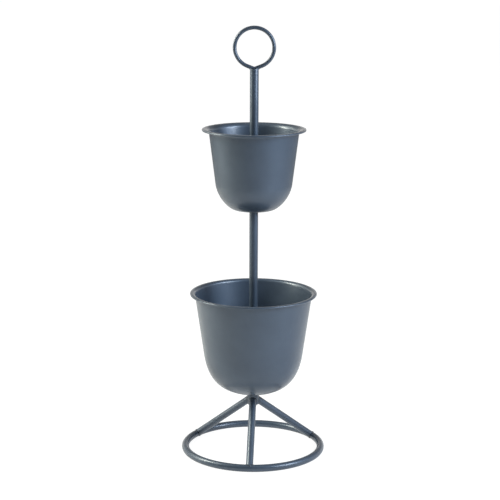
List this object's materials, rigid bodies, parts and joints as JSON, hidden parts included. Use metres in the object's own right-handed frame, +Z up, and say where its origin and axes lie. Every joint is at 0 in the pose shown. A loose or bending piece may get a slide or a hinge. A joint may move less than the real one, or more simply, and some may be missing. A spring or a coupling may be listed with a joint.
{
  "type": "metal plant stand",
  "caption": "Two-tier metal plant stand: bowls with rolled lips on a screwed tube pole, over a tripod of tube legs on a floor ring, with a ring handle on top.",
  "frame": {"origin": "centre of the base ring on the floor", "axes": "+Z up along the pole, the front leg points to -Y and the ring handle lies in the XZ plane"},
  "size_m": [0.27, 0.27, 0.7992],
  "materials": {
    "slate_paint": "satin slate blue powder coat on steel",
    "zinc_plate": "zinc plated steel, turned",
    "black_rubber": "matt black rubber sheet",
    "grey_nylon": "matt dark grey nylon"
  },
  "bodies": {
    "base": {"base_ring": "slate_paint", "leg_front": "slate_paint", "leg_right": "slate_paint", "leg_left": "slate_paint", "base_hub": "slate_paint", "lower_stud": "zinc_plate", "lower_gasket": "black_rubber", "lower_pot": "slate_paint"},
    "lower_lift": {"lower_washer": "grey_nylon"},
    "lower_section": {"lower_pole_foot": "slate_paint", "lower_pole": "slate_paint", "lower_pole_head": "slate_paint", "upper_stud": "zinc_plate", "upper_gasket": "black_rubber", "upper_pot": "slate_paint"},
    "upper_lift": {"upper_washer": "grey_nylon"},
    "upper_section": {"upper_pole_foot": "slate_paint", "upper_pole": "slate_paint", "handle_ring": "slate_paint"}
  },
  "joints": [
    {"name": "lower_screw_rise", "type": "slide", "parent": "base", "child": "lower_lift", "axis": [0, 0, 1], "range_m": [0, 0.01532]},
    {"name": "lower_screw_turn", "type": "hinge", "parent": "lower_lift", "child": "lower_section", "pos_m": [0, 0, 0.1174], "axis": [0, 0, 1], "range_deg": [0, 4410]},
    {"name": "upper_screw_rise", "type": "slide", "parent": "lower_section", "child": "upper_lift", "axis": [0, 0, 1], "range_m": [0, 0.01532]},
    {"name": "upper_screw_turn", "type": "hinge", "parent": "upper_lift", "child": "upper_section", "pos_m": [0, 0, 0.4661], "axis": [0, 0, 1], "range_deg": [0, 4410]}
  ],
  "couplings": [
    {"joint": "lower_screw_rise", "follows": "lower_screw_turn", "m_per_rad": 0.00019894},
    {"joint": "upper_screw_rise", "follows": "upper_screw_turn", "m_per_rad": 0.00019894}
  ]
}
